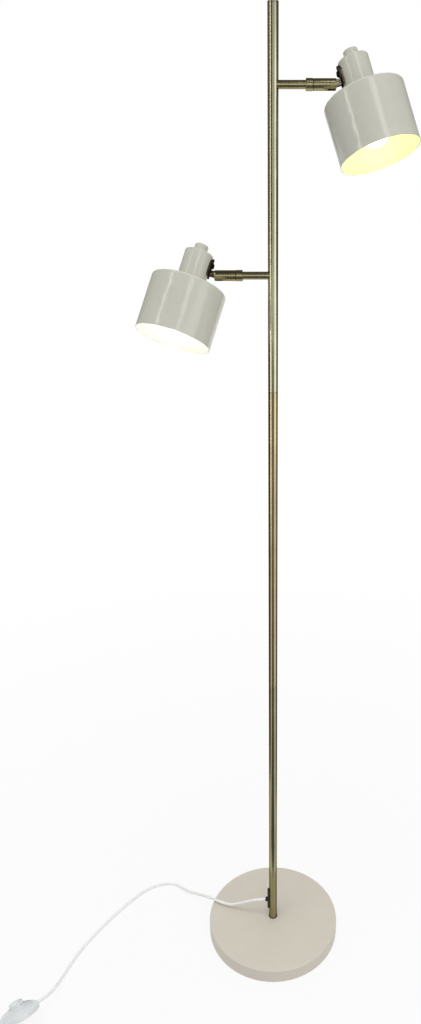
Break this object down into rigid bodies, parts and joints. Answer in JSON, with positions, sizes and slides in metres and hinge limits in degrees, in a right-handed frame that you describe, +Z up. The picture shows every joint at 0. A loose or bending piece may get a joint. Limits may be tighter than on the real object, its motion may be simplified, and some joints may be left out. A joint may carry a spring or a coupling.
{
  "type": "floor lamp",
  "caption": "Floor lamp with a round weighted foot, a slim pole and two swivelling spot heads on short arms at different heights, with a foot switch in its cord.",
  "frame": {"origin": "centre of the foot's underside, on the floor, under the pole's axis", "axes": "+Z up along the pole, +X along the upper arm, the lamp's front faces -Y"},
  "size_m": [0.7127, 0.4591, 1.5],
  "materials": {
    "cover_enamel": "semi-gloss warm grey enamel",
    "shade_enamel": "gloss warm grey enamel",
    "aged_brass": "aged brass, polished and lacquered",
    "dark_brass": "antique brass, dark and brushed",
    "iron": "raw casting",
    "pad_foam": "closed-cell foam",
    "zinc_steel": "zinc-plated",
    "black_steel": "black oxide",
    "black_plastic": "moulded",
    "boot_rubber": "moulded rubber",
    "lead_insulation": "soft insulation",
    "holder_plastic": "moulded heat-proof plastic",
    "opal_glass": "opal, lit",
    "bulb_metal": "rolled",
    "switch_plastic": "moulded pale grey",
    "contact_plastic": "moulded",
    "cord_pvc": "soft white jacket",
    "plug_plastic": "moulded white",
    "pin_metal": "nickel-plated"
  },
  "bodies": {
    "stand": {"arm_nipples": "zinc_steel", "base_cover": "cover_enamel", "base_nut": "zinc_steel", "base_pad": "pad_foam", "base_weight": "iron", "cable_boot": "boot_rubber", "coil_tie": "black_plastic", "cord_coil": "cord_pvc", "cord_to_coil": "cord_pvc", "cord_to_plug": "cord_pvc", "cord_to_switch": "cord_pvc", "foot_plug": "zinc_steel", "foot_ring": "black_plastic", "inner_leads": "lead_insulation", "left_arm_tube": "aged_brass", "left_collar": "aged_brass", "plug_body": "plug_plastic", "plug_pins": "pin_metal", "pole_cap": "aged_brass", "pole_couplers": "zinc_steel", "pole_lower": "aged_brass", "pole_middle": "aged_brass", "pole_upper": "aged_brass", "right_arm_tube": "aged_brass", "right_collar": "aged_brass", "switch_contact_block": "contact_plastic", "switch_lower_shell": "switch_plastic", "switch_screws": "zinc_steel", "switch_spring": "zinc_steel", "switch_upper_shell": "switch_plastic", "swivel_retainers": "zinc_steel"},
    "right_swivel": {"right_fork": "aged_brass", "right_pivot_pin": "zinc_steel", "right_swivel_barrel": "aged_brass"},
    "right_head": {"right_bulb": "opal_glass", "right_bulb_cap": "bulb_metal", "right_finial": "shade_enamel", "right_holder_ring": "holder_plastic", "right_lampholder": "holder_plastic", "right_neck_cup": "shade_enamel", "right_neck_plate": "dark_brass", "right_plate_fixings": "black_steel", "right_shade": "shade_enamel", "right_tongue": "aged_brass"},
    "left_swivel": {"left_fork": "aged_brass", "left_pivot_pin": "zinc_steel", "left_swivel_barrel": "aged_brass"},
    "left_head": {"left_bulb": "opal_glass", "left_bulb_cap": "bulb_metal", "left_finial": "shade_enamel", "left_holder_ring": "holder_plastic", "left_lampholder": "holder_plastic", "left_neck_cup": "shade_enamel", "left_neck_plate": "dark_brass", "left_plate_fixings": "black_steel", "left_shade": "shade_enamel", "left_tongue": "aged_brass"},
    "switch_button": {"switch_button": "switch_plastic"}
  },
  "joints": [
    {"name": "right_swivel", "type": "hinge", "parent": "stand", "child": "right_swivel", "pos_m": [0.0524, 0, 1.4085], "axis": [1, 0, 0], "range_deg": [-170, 170]},
    {"name": "right_tilt", "type": "hinge", "parent": "right_swivel", "child": "right_head", "pos_m": [0.076, 0, 1.4085], "axis": [0, -0.9542, 0.299], "range_deg": [-42, 73]},
    {"name": "left_swivel", "type": "hinge", "parent": "stand", "child": "left_swivel", "pos_m": [-0.0524, 0, 1.1763], "axis": [-1, 0, 0], "range_deg": [-170, 170]},
    {"name": "left_tilt", "type": "hinge", "parent": "left_swivel", "child": "left_head", "pos_m": [-0.076, 0, 1.1763], "axis": [0, 0.9178, -0.3971], "range_deg": [-42, 73]},
    {"name": "switch_press", "type": "slide", "parent": "stand", "child": "switch_button", "axis": [-0.3906, 0.4688, 0.7923], "range_m": [-0.003, 0], "stiffness_N_per_m": 600, "springref_m": 0.004}
  ]
}
